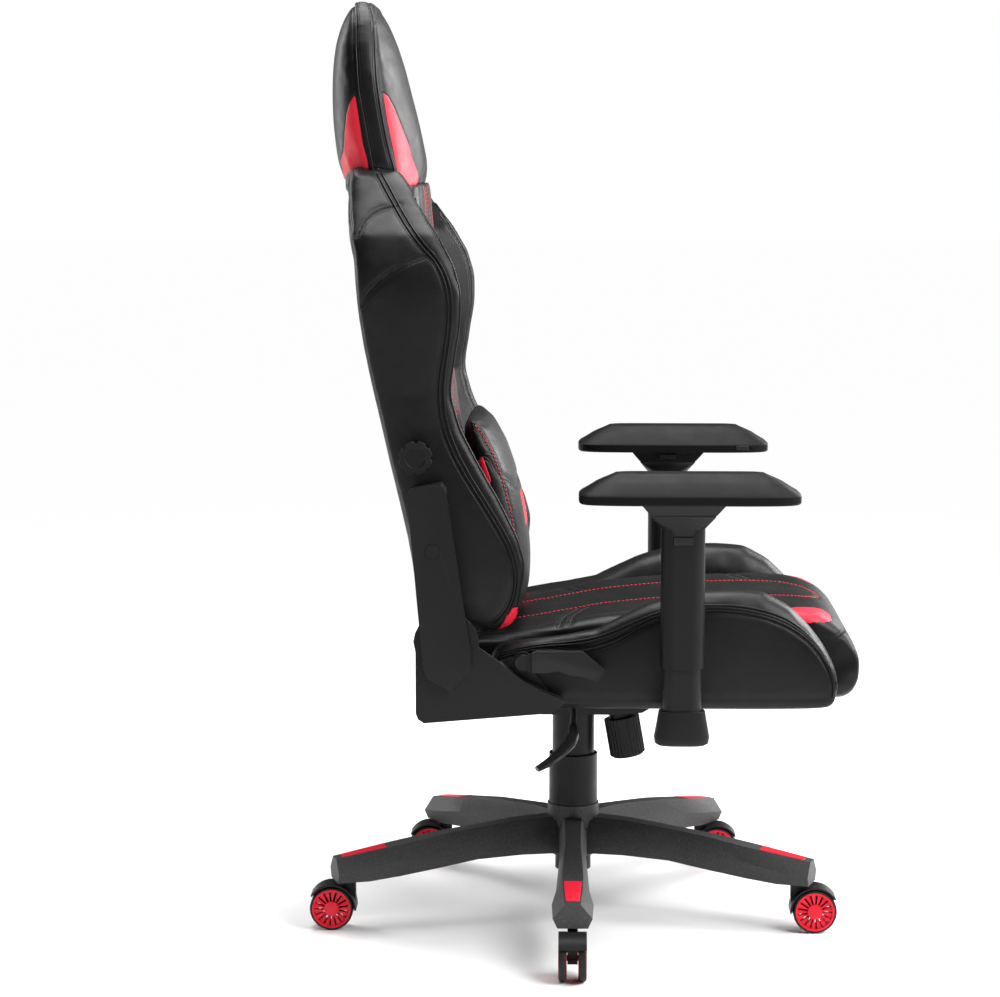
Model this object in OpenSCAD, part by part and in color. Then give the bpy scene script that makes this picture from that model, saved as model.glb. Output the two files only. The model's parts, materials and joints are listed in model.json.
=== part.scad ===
// Racing-style gaming chair. Millimetres, +Z up, +X to the front, +Y to the sitter's left.
// The origin is on the floor, on the gas spring's axis.

/* [Base] */
// Diameter of each caster wheel
wheel_d = 60; // [58:1:64]
// Width of one caster wheel
wheel_w = 11; // [10:1:12]
// Radius from the column's axis to the tip of a leg
base_r = 346; // [334:2:360]
// Spokes in each wheel's rim
rim_spokes = 17; // [12:1:18]

/* [Column] */
// Height of the seat's underside above the floor, with the gas spring down
seat_under_z = 344; // [344:2:374]
// Travel of the gas spring
lift_stroke = 90; // [60:5:90]

/* [Seat and back] */
// Half the width of the seat over its bolsters
seat_half_w = 260; // [256:1:260]
// Half the width of the back over its shoulders
shoulder_half_w = 262; // [240:2:262]
// Half the height of the lumbar pillow, across the sitter
pillow_half_w = 150; // [120:5:155]

/* [Armrests] */
// Distance from the chair's middle to an armrest's post
arm_y = 322; // [318:1:335]
// Length of an armrest pad
pad_len = 284; // [260:2:290]
// Width of an armrest pad
pad_w = 96; // [80:2:104]

/* [Hidden] */
$fn = 48;

up = seat_under_z - 344;             // shift of everything above the gas spring
leg_angles = [-90, -18, 54, 126, 198];
trail_angles = [-90, 0, 0, 180, 180]; // the way each caster trails at rest
caster_r = base_r - 22;              // circle of the caster stems
trail = 25;                          // from a caster's stem to its wheels' axle
leg_under = wheel_d + 8;             // underside of a leg at its tip
stem_r = 4.5;
wheel_gap = 15;

black = "#1d1d1f";
steel = "#8c8f93";
grey = "#3a3b3d";
leather = "#232326";
red = "#d81f33";

pivot = [-166, 431];      // recline axis, as x and z
rock = [60, 322];         // rocking axis
lever_pivot = [-66, 405]; // recline lever's axis
knob_at = [-206, 673];    // lumbar knob's axis
knob_tilt = 10;           // lean of the tension knob

// ---- helpers ----------------------------------------------------------------

// A closed skin over rings that all have the same number of points.
module loft(rings) {
    n = len(rings);
    m = len(rings[0]);
    function mid(r) = [for (k = [0:2]) [for (p = r) p[k]] * [for (p = r) 1] / m];
    pts = concat([for (r = rings) each r], [mid(rings[0]), mid(rings[n - 1])]);
    sides = [for (i = [0:n - 2], j = [0:m - 1]) let (a = i * m + j, b = i * m + (j + 1) % m)
        each [[a, b + m, b], [a, a + m, b + m]]];
    caps = [for (j = [0:m - 1]) let (k = (j + 1) % m)
        each [[n * m, j, k], [n * m + 1, (n - 1) * m + k, (n - 1) * m + j]]];
    polyhedron(points = pts, faces = concat(sides, caps));
}

// Point t (0 to 360) of a rounded rectangle with half sizes a and b; e is 2 for an ellipse.
function bulge(v, e) = sign(v) * pow(abs(v), 2 / e);
function soft_point(t, a, b, e) = [a * bulge(cos(t), e), b * bulge(sin(t), e)];

// One ring of a cushion across x: rounded, from y0 to y1 and z0 to z1; under is for its lower half.
function ring_x(x, y0, y1, z0, z1, e = 4, n = 20, under = 0) = [for (i = [0:n - 1])
    let (t = i * 360 / n, p = soft_point(t, (y1 - y0) / 2, (z1 - z0) / 2, t > 180 && under > 0 ? under : e))
    [x, (y0 + y1) / 2 + p[0], (z0 + z1) / 2 + p[1]]];

// One ring of a cushion across z: rounded, from x0 to x1 and y0 to y1.
function ring_z(z, x0, x1, y0, y1, e = 4, n = 20) = [for (i = [0:n - 1])
    let (p = soft_point(i * 360 / n, (x1 - x0) / 2, (y1 - y0) / 2, e))
    [(x0 + x1) / 2 + p[0], (y0 + y1) / 2 + p[1], z]];

// A plate with the outline pts in x and z, from y0 to y1.
module side_plate(pts, y0, y1) {
    translate([0, y1, 0]) rotate([90, 0, 0]) linear_extrude(y1 - y0) polygon(pts);
}

// A round bar along y.
module y_bar(at, r, y0, y1) {
    translate([at[0], y0, at[1]]) rotate([-90, 0, 0]) cylinder(r = r, h = y1 - y0);
}

// Children as drawn on the left, or their mirror image on the right.
module on_side(side) {
    if (side > 0) children();
    else mirror([0, 1, 0]) children();
}
module tube(r_out, r_in, z0, z1) {
    translate([0, 0, z0]) difference() {
        cylinder(r = r_out, h = z1 - z0);
        translate([0, 0, -1]) cylinder(r = r_in, h = z1 - z0 + 2);
    }
}
module oval(dx, dy, h) {
    linear_extrude(h) union() {
        square([dx - dy, dy], center = true);
        for (s = [-1, 1]) translate([s * (dx - dy) / 2, 0]) circle(d = dy);
    }
}

// ---- base -------------------------------------------------------------------

hub_top = 137;
ring_top = 157;
tip_z = leg_under - 68;              // shift of the leg tips for other wheels
trim_r = [base_r - 72, base_r - 10];

// Radius, underside, crease and top heights, and the widths there, of a leg's sections.
leg_sections = [
    [20, 88, 120, 140, 40, 40, 26],
    [80, 89, 121, 138, 34, 36, 22],
    [145, 87, 113, 131, 33, 36, 21],
    [195, 80, 105, 125, 36, 40, 24],
    [base_r - 90, 72, 95, 115, 38, 44, 28],
    [base_r - 45, 68, 88, 107.5, 42, 55, 26],
    [base_r, 68, 81, 100, 40, 52, 21],
];
function leg_ring(s, dz) = [
    [s[0], -s[4] / 2, s[1] + dz], [s[0], s[4] / 2, s[1] + dz], [s[0], s[5] / 2, s[2] + dz],
    [s[0], s[6] / 2, s[3] + dz], [s[0], -s[6] / 2, s[3] + dz], [s[0], -s[5] / 2, s[2] + dz],
];
module leg() {
    loft([for (s = leg_sections) leg_ring(s, tip_z)]);
}

// A coloured insert in the top of a leg: it stands 0.7 mm proud.
module trim() {
    slope = (107.5 - 100) / 45;
    function trim_ring(r, w) = let (z = 100 + (base_r - r) * slope + tip_z)
        [[r, -w / 2, z - 2], [r, w / 2, z - 2], [r, w / 2, z + 0.7], [r, -w / 2, z + 0.7]];
    loft([trim_ring(trim_r[0], 24), trim_ring(trim_r[1], 18)]);
}

module star_base() {
    color(grey) difference() {
        union() {
            for (a = leg_angles) rotate(a) leg();
            translate([0, 0, 84]) cylinder(r1 = 31, r2 = 33, h = hub_top - 84);
            translate([0, 0, hub_top - 1]) cylinder(r = 36, h = ring_top - hub_top + 1);
        }
        translate([0, 0, 60]) cylinder(r = 25, h = 120);
        for (a = leg_angles) rotate(a) {
            trim();
            translate([caster_r, 0, 40]) cylinder(r = stem_r, h = leg_under - 16);
        }
    }
}
module leg_trims() {
    color(red) for (a = leg_angles) rotate(a) trim();
}
module column_tube() {
    color(black) difference() {
        translate([0, 0, 62]) cylinder(r = 25, h = 200);
        translate([0, 0, 66]) cylinder(r = 22.6, h = 200);
        translate([0, 0, 50]) cylinder(r = 6.2, h = 30);
    }
    color("#d8d8d0") tube(22.55, 14.08, 206, 258);
}
module dust_cover_lower() { color(black) tube(34, 32, ring_top, 228); }
module caster_stems() {
    color(steel) for (a = leg_angles) rotate(a) translate([caster_r, 0, wheel_d / 2 + 16])
        cylinder(r = stem_r, h = leg_under + 24 - wheel_d / 2 - 16);
}

// ---- casters ----------------------------------------------------------------

// The plastic body of a caster: a web between the wheels and a fender over them.
fender_r = wheel_d / 2 + 1.6;
web_w = wheel_gap - 1.6;
function arc(r, from, to, step = 8) = [for (t = [from:step:to]) r * [cos(t), sin(t)]];
module fork() {
    axle_z = wheel_d / 2;
    color(black) difference() {
        translate([trail, 0, axle_z]) union() {
            rotate([90, 0, 0]) cylinder(r = 8.5, h = web_w, center = true);
            side_plate(concat([[-6, -4], [6, -4]], arc(fender_r + 2.4, 32, 184)), -web_w / 2, web_w / 2);
            side_plate(concat(arc(fender_r + 2.4, 32, 184), [for (p = arc(fender_r, -184, -32)) [p[0], -p[1]]]),
                -wheel_gap / 2 - wheel_w, wheel_gap / 2 + wheel_w);
            side_plate([[-trail - 8, 0], [-trail - 8, leg_under - 1.2 - axle_z],
                        [-trail + 8, leg_under - 1.2 - axle_z], [-trail + 10, 0]], -web_w / 2, web_w / 2);
        }
        translate([0, 0, axle_z + 15.5]) cylinder(r = stem_r + 0.05, h = 60);
        translate([trail, 0, axle_z]) rotate([90, 0, 0]) cylinder(r = 4.05, h = 60, center = true);
    }
}
wheel_offs = [-(wheel_gap + wheel_w) / 2, (wheel_gap + wheel_w) / 2];
rim_r = wheel_d / 2 - 3.2;
module tyres() {
    r = wheel_d / 2;
    w = wheel_w / 2;
    color(black) for (y = wheel_offs) translate([0, y, 0]) rotate([90, 0, 0]) rotate_extrude() polygon([
        [rim_r, -w + 0.4], [r - 1.5, -w + 0.4], [r, -w + 2.4],
        [r, w - 2.4], [r - 1.5, w - 0.4], [rim_r, w - 0.4]]);
}

// Two spoked rims on their axle.
module rims() {
    color(red) for (y = wheel_offs) translate([0, y, 0]) rotate([90, 0, 0]) difference() {
        cylinder(r = rim_r, h = wheel_w, center = true);
        for (s = [-1, 1]) translate([0, 0, s * (wheel_w / 2)]) difference() {
            cylinder(r = rim_r - 2.8, h = 4.4, center = true);
            cylinder(r = 10, h = 6, center = true);
        }
        for (i = [0:rim_spokes - 1]) rotate(i * 360 / rim_spokes)
            translate([10.3, -1.3, -20]) cube([rim_r - 13.6, 2.6, 40]);
        cylinder(r = 4, h = 10 + wheel_w, center = true);
    }
    color(steel) rotate([90, 0, 0]) cylinder(r = 4, h = wheel_gap + 2 * wheel_w, center = true);
}
module at_caster(k) {
    a = leg_angles[k - 1];
    translate([caster_r * cos(a), caster_r * sin(a), 0]) rotate(trail_angles[k - 1]) children();
}
module caster_fork(k) { at_caster(k) fork(); }
module at_axle(k) { at_caster(k) translate([trail, 0, wheel_d / 2]) children(); }
module caster_rims(k) { at_axle(k) rims(); }
module caster_tyres(k) { at_axle(k) tyres(); }

// ---- gas spring and its covers ------------------------------------------------

module dust_cover_middle() { color(black) tube(31.5, 30, 161, 226); }
module gas_rod() {
    color(steel) union() {
        translate([0, 0, 57]) cylinder(r = 5, h = 221 + up);
        translate([0, 0, 57]) cylinder(r = 9, h = 4);
        translate([0, 0, 74]) cylinder(r = 9, h = 3);
        translate([0, 0, 270 + up]) cylinder(r = 10.9, h = 8);
    }
    color("#b9bcc0") tube(14, 5.3, 66.2, 73.8);
}
module gas_cylinder() {
    color(black) difference() {
        translate([0, 0, 84]) cylinder(r = 14, h = 234 + up);
        translate([0, 0, 100]) cylinder(r = 11, h = 190 + up);
        translate([0, 0, 70]) cylinder(r = 5.08, h = 60);
    }
}
module dust_cover_upper() { color(black) tube(29.5, 27.5, 168, 291 + up); }

// ---- mechanism under the seat --------------------------------------------------

housing_side = [[-75, 298], [-62, 291], [52, 291], [96, 294], [112, 304], [112, 330],
                [84, 336.5], [44, 334.5], [-75, 303]];
ear_x = 10.4;
clip_y = -60;
rod_z = 308;
knob_top = [66, 288];

module mechanism_housing() {
    translate([0, 0, up]) color(grey) difference() {
        union() {
            side_plate(housing_side, -50, 50);
            for (s = [-1, 1]) translate([s > 0 ? ear_x : -ear_x - 5, -66, 299]) cube([5, 17, 18]);
        }
        translate([0, 0, 280]) cylinder(r = 14, h = 38);
        y_bar(rock, 6.05, -60, 60);
        y_bar([0, rod_z], 10, -60, -30);
        translate([0, clip_y, rod_z]) rotate([0, 90, 0]) cylinder(r = 3.05, h = 60, center = true);
        translate([knob_top[0], 0, knob_top[1]]) rotate([0, -knob_tilt, 0])
            translate([0, 0, -20]) cylinder(r = 5.5, h = 42);
    }
}

// Fluted knob that sets how hard the chair is to rock.
module tension_knob() {
    flutes = 30;
    translate([0, 0, up]) translate([knob_top[0], 0, knob_top[1]]) rotate([0, -knob_tilt, 0]) {
        color(black) union() {
            translate([0, 0, -9]) cylinder(r = 17, h = 7);
            translate([0, 0, -62]) linear_extrude(53) polygon([for (i = [0:flutes * 4 - 1])
                let (r = 24.4 + 0.6 * sin(i * 90)) r * [cos(i * 3), sin(i * 3)]]);
            translate([0, 0, -65]) cylinder(r1 = 21, r2 = 23.6, h = 3);
            translate([0, 0, -4]) cylinder(r = 5, h = 20);
        }
    }
}
module lever_clip() {
    translate([0, 0, up]) color(black) difference() {
        union() {
            translate([-10, clip_y - 6, rod_z - 7]) cube([20, 12, 14]);
            translate([0, clip_y, rod_z]) rotate([0, 90, 0]) cylinder(r = 3, h = 30, center = true);
        }
        y_bar([0, rod_z], 4.06, -80, -40);
    }
}

// Centre line of the lever's paddle: x, y, z, turn towards the rear, half width, half thickness.
paddle = [
    [0, -214, 308, 0, 4.5, 5], [0, -226, 308, 0, 6, 6.5], [0, -262, 305, 6, 7.5, 6],
    [-5, -286, 299, 28, 9, 4.5], [-18, -303, 289, 52, 11, 3.6], [-33, -312, 279, 66, 12, 3.2],
    [-47, -317, 272, 74, 10, 2.6],
];
function paddle_ring(s) = [for (i = [0:11])
    let (p = soft_point(i * 30, s[4], s[5], 3), c = cos(s[3]), d = sin(s[3]))
    [s[0] + p[0] * c, s[1] - p[0] * d, s[2] + p[1]]];
module height_lever() {
    translate([0, 0, up]) {
        color(steel) y_bar([0, rod_z], 4, -216, -41);
        color(black) difference() {
            loft([for (s = paddle) paddle_ring(s)]);
            y_bar([0, rod_z], 4, -216.5, -200);
        }
    }
}

// ---- seat ---------------------------------------------------------------------

bolt_at = [[-85, 76], [-85, -76], [108, 76], [108, -76]];

module tilt_plate() {
    translate([0, 0, up]) color(grey) difference() {
        union() {
            translate([-110, -92, 340]) cube([240, 184, 4]);
            for (s = [-1, 1]) side_plate([[22, 340], [98, 340], [88, 312], [34, 312]],
                s > 0 ? 54 : -58, s > 0 ? 58 : -54);
        }
        y_bar(rock, 6, -70, 70);
        for (b = bolt_at) translate([b[0], b[1], 330]) cylinder(r = 4.2, h = 30);
    }
}

frame_x = [-112, 318];
frame_y = 160;
frame_z = 366;
frame_tube_r = 9;
bend_r = 50;

// A tube loop with rounded corners, in the plane of x and y.
module tube_loop(x0, x1, y, r, bend) {
    for (s = [-1, 1]) {
        y_end = y - bend;
        translate([x0 + bend, s * y, 0]) rotate([0, 90, 0]) cylinder(r = r, h = x1 - x0 - 2 * bend);
        for (x = [x0, x1]) {
            in_x = x == x0 ? x0 + bend : x1 - bend;
            turn = x == x0 ? (s > 0 ? 90 : 180) : (s > 0 ? 0 : 270);
            translate([in_x, s * y_end, 0]) rotate(turn) rotate_extrude(angle = 90)
                translate([bend, 0]) circle(r = r);
        }
    }
    for (x = [x0, x1]) translate([x, 0, 0]) rotate([90, 0, 0])
        cylinder(r = r, h = 2 * (y - bend), center = true);
}
module seat_frame() {
    translate([0, 0, up]) color(grey) union() {
        translate([0, 0, frame_z]) tube_loop(frame_x[0], frame_x[1], frame_y, frame_tube_r, bend_r);
        for (x = [-85, 108]) difference() {
            translate([x - 18, -frame_y, 351]) cube([36, 2 * frame_y, 7.5]);
            for (y = [-76, 76]) translate([x, y, 340]) cylinder(r = 4.2, h = 40);
        }
    }
}
module seat_straps() {
    translate([0, 0, up]) color("#15161a") for (i = [0:4])
        translate([-70 + i * 78, -frame_y, frame_z + frame_tube_r]) cube([45, 2 * frame_y, 2]);
}
module seat_base_cover() {
    translate([0, 0, up]) color("#111214") difference() {
        translate([-128, -183, 344]) cube([458, 366, 6]);
        for (b = bolt_at) translate([b[0], b[1], 330]) cylinder(r = 4.2, h = 30);
    }
}

// x, underside and top of the seat's middle.
cushion_sections = [
    [-150, 388, 402], [-147, 380, 417], [-138, 378, 425], [-95, 377.5, 430], [-48, 377.5, 437],
    [35, 377.5, 453], [110, 377.5, 461], [173, 377.5, 464], [250, 377.5, 466], [300, 377.5, 464],
    [329, 376, 459], [332, 338, 458], [350, 332, 449], [367, 333, 433], [379, 343, 412], [386, 364, 398],
];
module seat_cushion() {
    translate([0, 0, up]) color(leather)
        loft([for (s = cushion_sections) ring_x(s[0], -182, 182, s[1], s[2], 7, 28)]);
}

// x, underside and top of a seat bolster.
bolster_sections = [
    [-112, 372, 398], [-108, 354, 413], [-95, 347, 423], [-52, 345, 431], [-10, 345, 437], [32, 345, 446],
    [65, 345, 463], [97, 345, 479], [149, 345, 494], [207, 345, 497], [250, 345, 494], [285, 345, 475],
    [312, 345, 448], [332, 346, 420], [343, 350, 400], [348, 362, 384],
];
module seat_bolsters() {
    for (side = [-1, 1]) on_side(side) translate([0, 0, up]) color(leather)
        loft([for (s = bolster_sections) ring_x(s[0], 184, seat_half_w, s[1], s[2], 3.4, 24, 9)]);
}

// Outline of the cover over the recliner, in x and z.
cover_arc_r = 43;
cover_outline = concat(
    [[-206, 420], [-206, 339], [-203, 331], [-195, 326], [-30, 340], [-14, 352], [-12, 357],
     [-40, 369], [-71, 386], [-95, 407]],
    [for (t = [-5:15:185]) pivot + cover_arc_r * [cos(t), sin(t)]]
);
module side_covers() {
    for (side = [-1, 1]) on_side(side) translate([0, 0, up]) color(black) difference() {
        side_plate(cover_outline, 268.5, 289);
        intersection() {
            side_plate(cover_outline, 262, 285.5);
            union() {
                side_plate([[-202.5, 460], [-202.5, 341], [-194, 330], [-32, 344.5], [-60, 374],
                            [-96, 402], [-96, 490], [-202.5, 490]], 262, 285.5);
                side_plate([[-215, 412], [-90, 412], [-90, 490], [-215, 490]], 262, 285.5);
            }
        }
    }
}

// Lower plate of the recliner, fixed to the seat, and its pivot.
plate_outline = concat(
    [[-196, 352], [-40, 352], [-34, 366], [-52, 392]],
    [for (t = [-20:20:160]) lever_pivot + 13 * [cos(t), sin(t)]],
    [[-92, 400]],
    [for (t = [0:15:180]) pivot + 30 * [cos(t), sin(t)]]
);
module recliner_plates() {
    for (side = [-1, 1]) on_side(side) translate([0, 0, up]) {
        color(steel) difference() {
            side_plate(plate_outline, 264, 268);
            y_bar(pivot, 8.05, 250, 280);
            y_bar(lever_pivot, 5.05, 250, 280);
        }
        color(steel) y_bar(lever_pivot, 5, 264, 276);
        color(steel) translate([-150, 100, 351]) cube([40, 164, 6]);
    }
}
module seat_fasteners() {
    translate([0, 0, up]) color(steel) {
        y_bar(rock, 6, -61, 61);
        for (b = bolt_at) translate([b[0], b[1], 334]) {
            cylinder(r = 4, h = 25);
            translate([0, 0, 0.5]) cylinder(r = 7, h = 5.5, $fn = 6);
        }
    }
}

// ---- armrests -------------------------------------------------------------------

post_x = 140;
post_size = [50, 28];
sleeve_size = [57, 35];
sleeve_z = [408, 590];
turn_pin_r = 9;         // pin under an armrest's head, which the pad turns on

// Steel post with its foot plate, and the plastic cover of its lower end.
module arm_brackets() {
    for (side = [-1, 1]) on_side(side) translate([0, 0, up]) {
        color(black) union() {
            translate([post_x, arm_y, 330]) oval(post_size[0], post_size[1], 195);
            translate([post_x - 23, 104, 337]) cube([46, arm_y - 104, 6.6]);
        }
        color(grey) translate([post_x, arm_y, 0]) difference() {
            loft([for (s = [[307, 60, 32], [310, 70, 38], [318, 72, 40], [352, 60, 34]])
                [for (i = [0:31]) let (p = soft_point(i * 11.25, s[1] / 2, s[2] / 2, 3))
                    [p[0], p[1], s[0]]]]);
            translate([0, 0, 330]) oval(post_size[0], post_size[1], 60);
            translate([-23, -60, 337]) cube([46, 60, 6.6]);
        }
    }
}
module arm_sleeve(side) {
    z0 = sleeve_z[0];
    z1 = sleeve_z[1];
    on_side(side) translate([post_x, arm_y, up]) color(black) difference() {
        union() {
            translate([0, 0, z0]) oval(sleeve_size[0], sleeve_size[1], z1 - z0);
            hull() {
                translate([0, 0, z1 - 1]) oval(sleeve_size[0], sleeve_size[1], 1, $fn = 32);
                translate([-41, -24, 606]) cube([82, 48, 1.6]);
            }
        }
        translate([0, 0, 594]) cylinder(r = turn_pin_r + 0.05, h = 20);
        translate([0, 0, z0 - 1]) oval(post_size[0] + 0.4, post_size[1] + 0.4, 160);
        translate([-13, sleeve_size[1] / 2 - 3.4, 569]) cube([26, 10, 11]);
    }
}

// Button in the sleeve's outer face that releases its height.
module arm_height_button(side) {
    on_side(side) translate([post_x, arm_y + sleeve_size[1] / 2, up]) color(grey)
        translate([-12.6, -1.4, 569.4]) cube([25.2, 3.6, 10.2]);
}
module arm_head(side) {
    on_side(side) translate([post_x, arm_y, up]) color(black) difference() {
        union() {
            hull() {
                translate([-42, -25, 608]) cube([84, 50, 1]);
                translate([-53, -32, 621.2]) cube([106, 64, 1.5]);
            }
            translate([0, 0, 595]) cylinder(r = turn_pin_r, h = 14);
        }
        translate([-12, -40, 612]) cube([24, 16, 7.5]);
    }
}

// Button on the head's inner face that releases the pad's turn.
module arm_head_button(side) {
    on_side(side) translate([post_x, arm_y, up]) color(grey)
        translate([-11.6, -31.8, 612.4]) cube([23.2, 5.2, 6.7]);
}

// Height and inset of an armrest pad's rings, from its underside to its crown.
pad_rings = [[623, 2], [625, 0], [634, 0], [637, 3], [643, 13], [649, 22], [653, 30], [658, 41], [661, 47], [662, 56]];
pad_mid_x = 148;
module arm_pad(side) {
    function pad_ring(s) = [for (i = [0:35])
        let (p = soft_point(i * 10, pad_len / 2 - s[1], pad_w / 2 - s[1] * 0.7, 5))
        [pad_mid_x + p[0], arm_y + p[1], s[0]]];
    on_side(side) translate([0, 0, up]) color(black) difference() {
        loft([for (s = pad_rings) pad_ring(s)]);
        translate([pad_mid_x + 92, arm_y - pad_w / 2 - 7, 626.6]) cube([20, 14.6, 7.2]);
    }
}

// Button in the pad's inner edge that lets it slide.
module arm_pad_button(side) {
    on_side(side) translate([0, 0, up]) color(grey)
        translate([pad_mid_x + 92.4, arm_y - pad_w / 2 + 0.4, 627]) cube([19.2, 5.4, 6.4]);
}

// ---- recline lever ----------------------------------------------------------------

lever_outline = [[-54, 393], [-54, 419], [-48, 421], [12, 421], [41, 396], [32, 382],
                 [14, 388], [-4, 390], [-20, 396], [-34, 393]];
module recline_lever() {
    translate([0, 0, up]) color(black) difference() {
        union() {
            side_plate(lever_outline, -287, -274);
            y_bar(lever_pivot, 10, -281, -269.2);
            side_plate([[-66, 397], [-52, 393], [-52, 418], [-66, 413]], -281, -274);
        }
        y_bar(lever_pivot, 5.06, -277, -260);
    }
}

// ---- back --------------------------------------------------------------------------

// z, rear and front of the back's middle, half its width, and the rear of its foam.
pad_sections = [
    [440, -204, -128, 168], [452, -204, -124, 180], [520, -212, -130, 184], [600, -227, -141, 186],
    [700, -252, -160, 186], [760, -266, -168, 186], [850, -283, -184, 186], [940, -290, -195, 186],
    [1000, -297, -199, 172], [1030, -304, -201, 150],
];
foam_depth = 34;
head_sections = [
    [1045, -316, -205, 152], [1067, -322, -211, 150], [1105, -327, -219, 150], [1143, -329, -228, 149],
    [1180, -329, -236, 144], [1212, -326, -245, 134], [1240, -318, -255, 118], [1258, -309, -265, 100],
    [1269, -298, -276, 78],
];
module back_pad() {
    translate([0, 0, up]) color(leather) loft(concat(
        [for (s = pad_sections) ring_z(s[0], s[2] - foam_depth, s[2], -s[3], s[3], 5, 28)],
        [for (s = head_sections) ring_z(s[0], s[1], s[2], -s[3], s[3], 3, 28)]));
}
module back_rear_panel() {
    translate([0, 0, up]) color(leather) loft([for (s = pad_sections)
        ring_z(s[0] + (s[0] < 445 ? 4 : 0), s[1], s[1] + 6, -s[3] + 1, s[3] - 1, 8, 28)]);
}

// z, rear, front edge and outer side of a wing, and its inner side at the back and at the front.
shoulder = shoulder_half_w;
wing_sections = [
    [438, -190, -112, 240, 196, 206], [446, -203, -92, 249, 190, 210], [466, -205, -76, 254, 188, 216],
    [500, -209, -66, 257, 188, 219], [530, -213, -62, 258, 188, 220], [565, -219, -72, 258, 188, 221],
    [612, -230, -95, 257, 188, 222], [664, -244, -124, 255, 188, 222], [709, -254, -147, 253, 188, 221],
    [755, -265, -160, 253, 188, 221], [812, -277, -152, 256, 188, 224], [851, -283, -145, shoulder - 3, 188, 228],
    [890, -287, -146, shoulder, 188, 230], [925, -289, -156, shoulder - 4, 188, 227],
    [961, -292, -176, shoulder - 20, 188, 214], [1000, -298, -201, shoulder - 60, 174, 184],
    [1020, -302, -217, shoulder - 78, 160, 165], [1029, -305, -228, shoulder - 90, 154, 157],
];
function wing_ring(s) = let (z = s[0], x0 = s[1], x1 = s[2], y = s[3], d = min(7, (y - s[4]) / 4)) [
    [x0, s[4], z], [x0, y - 2 * d, z], [x0 + d, y - d, z], [x0 + 3 * d, y, z],
    [(x0 + x1) / 2, y, z], [x1 - 2 * d, y, z], [x1 - d / 2, y - d / 2, z], [x1, y - 1.5 * d, z],
    [x1, s[5] + d / 2, z], [x1 - d, s[5], z], [x1 - (x1 - x0) / 3, (s[4] + s[5]) / 2 - 4, z],
    [(x0 + x1) / 2 + 4, s[4], z],
];
bracket_bolts = [[-176, 502], [-183, 554]];
module back_wing(side) {
    on_side(side) translate([0, 0, up]) color(leather) difference() {
        loft([for (s = wing_sections) wing_ring(s)]);
        for (b = bracket_bolts) y_bar(b, 6, 150, 300);
        if (side < 0) y_bar(knob_at, 5.3, 150, 300);
    }
}

// The back's tube frame: an upright loop with a rounded top, leaning with the back.
back_lean = 7.2;
frame_foot = [-190, 470];
module back_frame() {
    translate([0, 0, up]) color(grey) {
        translate([frame_foot[0], 0, frame_foot[1]]) rotate([0, -90 - back_lean, 0])
            tube_loop(0, 470, 150, 8.5, 60);
        for (b = bracket_bolts) for (s = [-1, 1]) on_side(s) difference() {
            translate([b[0] - 14, 146, b[1] - 13]) cube([23, 38, 26]);
            y_bar(b, 6.05, 140, 200);
        }
    }
}

// Upper recliner plates on the back, with the bolts that hold them and the pivot pins.
bar_outline = concat(
    [for (t = [-180:20:0]) pivot + 21 * [cos(t), sin(t)]],
    [[-143, 470], [-162, 612], [-170, 618], [-200, 618], [-206, 610], [-189, 470]]
);
module back_brackets() {
    for (side = [-1, 1]) on_side(side) translate([0, 0, up]) color(steel) {
        difference() {
            side_plate(bar_outline, 269, 273);
            for (b = bracket_bolts) y_bar(b, 6.05, 250, 290);
        }
        y_bar(pivot, 8, 262, 269);
        for (b = bracket_bolts) {
            y_bar(b, 6, 150, 273);
            y_bar(b, 9, 273, 278);
        }
    }
}

// Trim that hides the upper plate and passes outside the cover below it.
strip_outline = [[-216, 628], [-213, 634], [-172, 642], [-166, 634], [-134, 424], [-133, 400],
                 [-160, 370], [-192, 388], [-196, 402]];
module bracket_covers() {
    for (side = [-1, 1]) on_side(side) translate([0, 0, up]) color(black) {
        difference() {
            union() {
                side_plate(strip_outline, 290, 297);
                intersection() {
                    side_plate(strip_outline, 263, 291);
                    translate([-260, 200, 484]) cube([200, 100, 170]);
                }
            }
            difference() {
                side_plate([[-209, 640], [-196, 480], [-141, 480], [-158, 620], [-168, 630], [-205, 628]],
                    250, 292);
                side_plate([[-230, 632], [-150, 632], [-150, 660], [-230, 660]], 240, 300);
            }
            y_bar(bracket_bolts[1], 9.5, 280, 300);
        }
        y_bar(bracket_bolts[1], 9.4, 292, 298);
    }
}

// Knob in the back's right side, on a shaft that works the lumbar support.
module lumbar_knob() {
    translate([0, 0, up]) color(black) union() {
        y_bar(knob_at, 5, -262, -180);
        y_bar(knob_at, 17, -262, -258.5);
        difference() {
            y_bar(knob_at, 22, -274, -262);
            for (i = [0:7]) translate([knob_at[0] + 23.5 * cos(i * 45), 0, knob_at[1] + 23.5 * sin(i * 45)])
                rotate([90, 0, 0]) cylinder(r = 4, h = 300);
            y_bar(knob_at, 13, -280, -272.8);
        }
    }
}

// z, rear, front and half width of the pillow; the width counts from pillow_half_w.
pillow_sections = [
    [440, -108, -78, 22], [446, -119, -66, 8], [470, -123, -59, 2], [500, -127, -58, 0], [540, -130, -60, 0],
    [582, -136, -66, 0], [623, -143, -76, 2], [665, -151, -91, 6], [699, -153, -110, 14], [714, -147, -130, 26],
];
module lumbar_pillow() {
    translate([0, 0, up]) color(leather) loft([for (s = pillow_sections)
        ring_z(s[0], s[1], s[2], -pillow_half_w + s[3], pillow_half_w - s[3], 3, 24)]);
}

// ---- nodes ------------------------------------------------------------------------

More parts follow.
